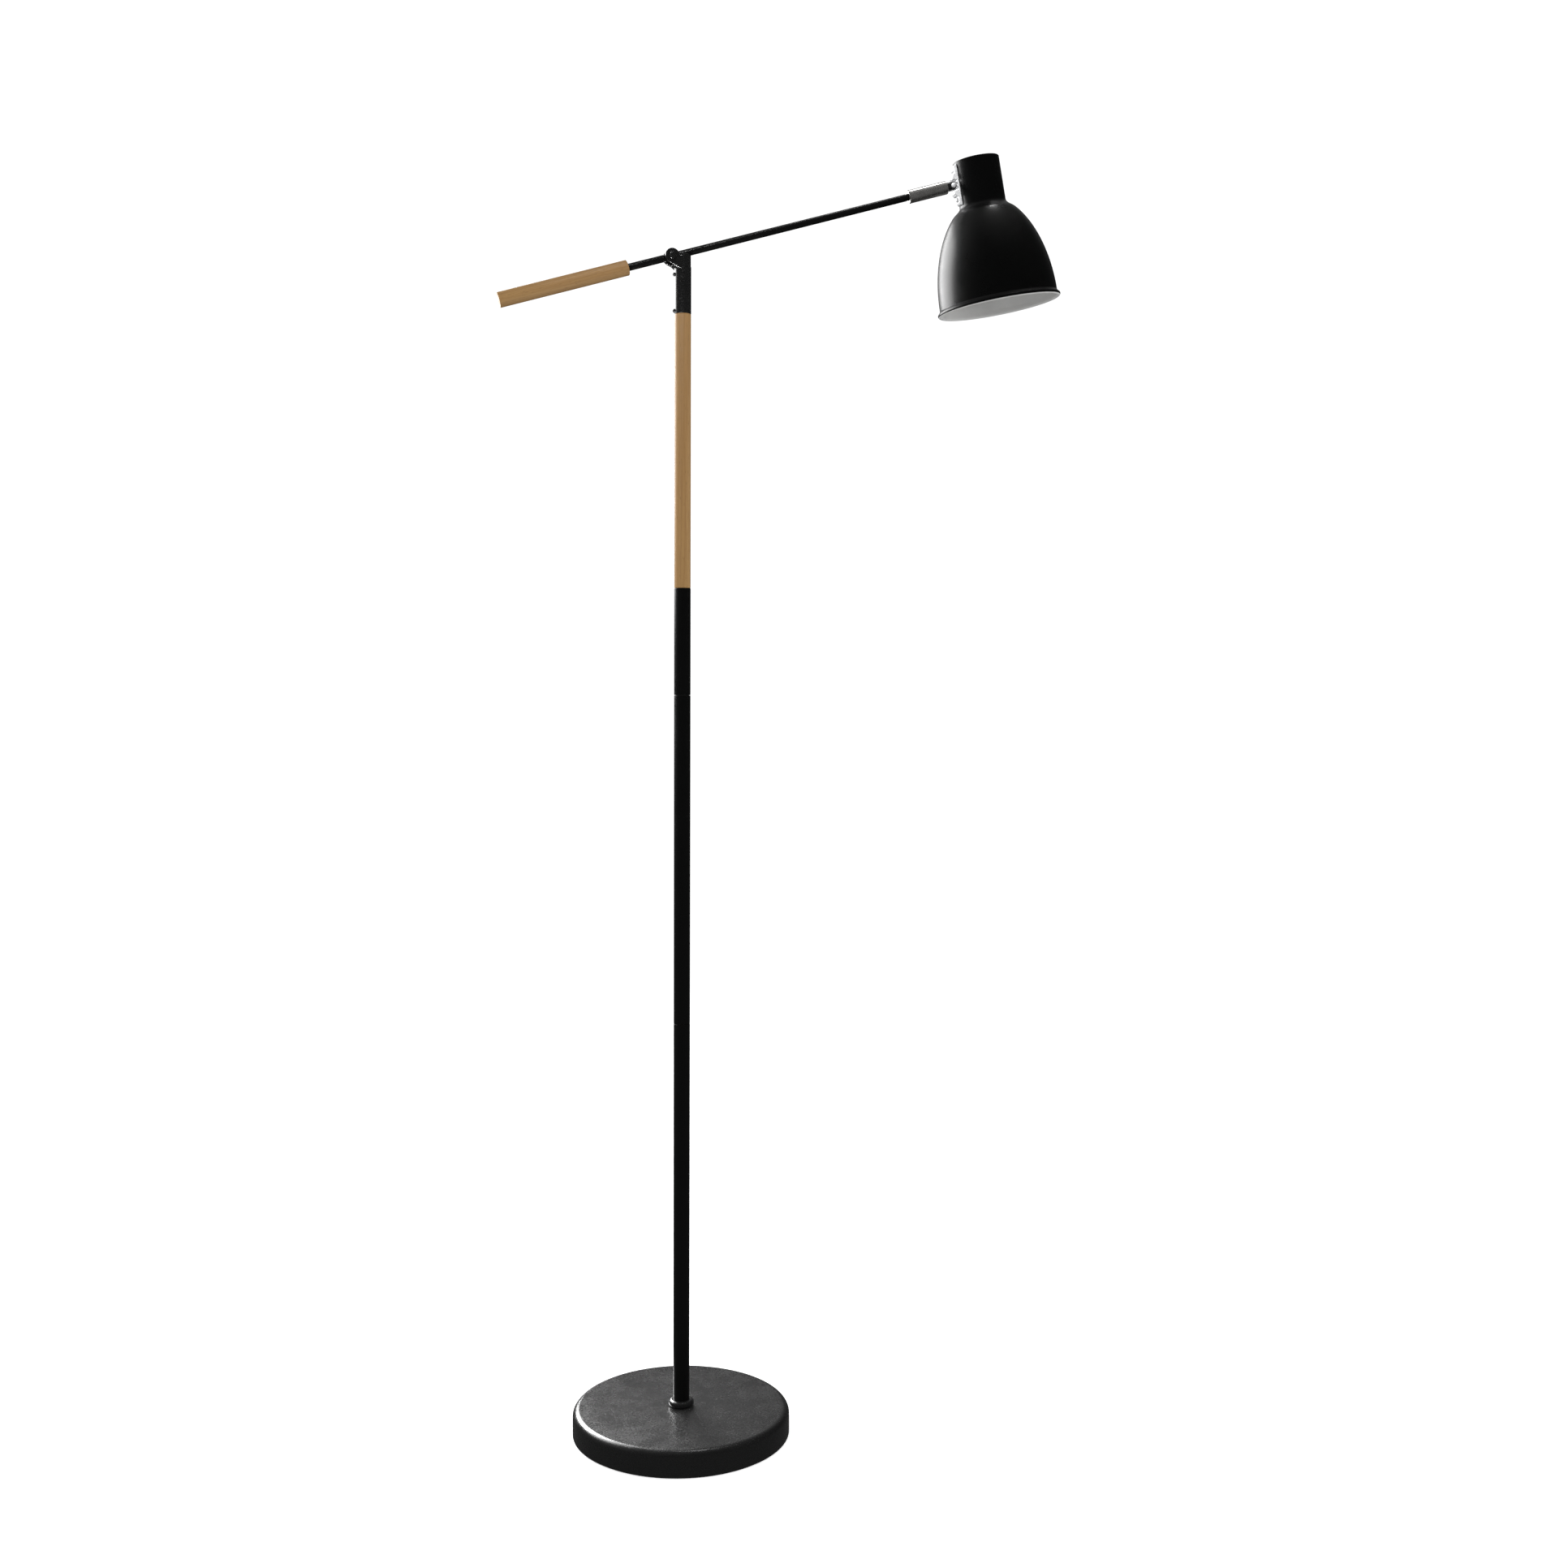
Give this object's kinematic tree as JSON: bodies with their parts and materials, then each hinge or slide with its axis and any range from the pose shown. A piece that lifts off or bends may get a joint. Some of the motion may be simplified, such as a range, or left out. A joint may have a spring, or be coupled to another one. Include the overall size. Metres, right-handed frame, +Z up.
{
  "type": "adjustable arm floor lamp",
  "caption": "Black floor lamp on a weighted round base, with a wood pole section, a tilting counterweighted arm and a swivelling bell shade.",
  "frame": {"origin": "centre of the base's underside, on the floor", "axes": "+Z up along the pole, +X from the pole towards the shade, +Y to the rear, square to the arm's plane"},
  "size_m": [0.6557, 0.2519, 1.4786],
  "materials": {
    "black_paint": "satin black powder coat",
    "black_tube": "satin black powder coat, slightly smoother",
    "shade_black": "satin black outside, matt white inside",
    "beech": "clear satin lacquer, grain along the piece",
    "nickel": "satin nickel",
    "chrome": "polished",
    "steel": "zinc plated",
    "cast_iron": "rough",
    "rubber": "matt",
    "black_plastic": "satin",
    "white_ceramic": "glazed",
    "brass": "plain"
  },
  "bodies": {
    "stand": {"base_cover": "black_paint", "base_weight": "cast_iron", "base_pad": "rubber", "base_washer": "steel", "base_nut": "steel", "base_nipple": "steel", "cord_grommet": "rubber", "base_collar": "black_paint", "lower_tube": "black_tube", "middle_tube": "black_tube", "upper_tube": "black_tube", "lower_coupler": "steel", "upper_coupler": "steel", "foot_plug": "steel", "wood_pole": "beech", "core_tube": "steel", "top_fitting": "black_paint", "set_screw_lower": "black_paint", "set_screw_upper": "black_paint", "pivot_bolt": "black_paint", "pivot_cap_nut": "black_paint"},
    "arm": {"pivot_washer_front": "steel", "pivot_washer_rear": "steel", "arm_hub": "black_paint", "arm_rod": "black_tube", "rear_rod": "black_tube", "counterweight_wood": "beech", "counterweight_bush": "black_plastic", "counterweight_core": "steel", "swivel_sleeve": "nickel"},
    "swivel": {"swivel_screw": "steel", "swivel_fork": "black_paint", "knuckle_screw": "chrome", "knuckle_nut": "steel"},
    "head": {"head_stem": "chrome", "bridge_plate": "chrome", "bridge_screw_upper": "chrome", "bridge_screw_lower": "chrome", "stem_nut": "steel", "shade": "shade_black", "holder_bracket": "steel", "holder_nipple": "steel", "holder_nut": "steel", "lampholder_body": "black_plastic", "lampholder_ring": "black_plastic", "lampholder_insulator": "white_ceramic", "lampholder_shell": "brass", "centre_contact": "brass"}
  },
  "joints": [
    {"name": "arm_tilt", "type": "hinge", "parent": "stand", "child": "arm", "pos_m": [-0.0135, 0, 1.3391], "axis": [0, -1, 0], "range_deg": [-30, 44]},
    {"name": "head_turn", "type": "hinge", "parent": "arm", "child": "swivel", "pos_m": [0.31794, 0, 1.44151], "axis": [0.9554, 0, 0.2952], "range_deg": [-165, 165]},
    {"name": "head_tilt", "type": "hinge", "parent": "swivel", "child": "head", "pos_m": [0.31794, 0, 1.44151], "axis": [0, -1, 0], "range_deg": [-35, 35]}
  ]
}
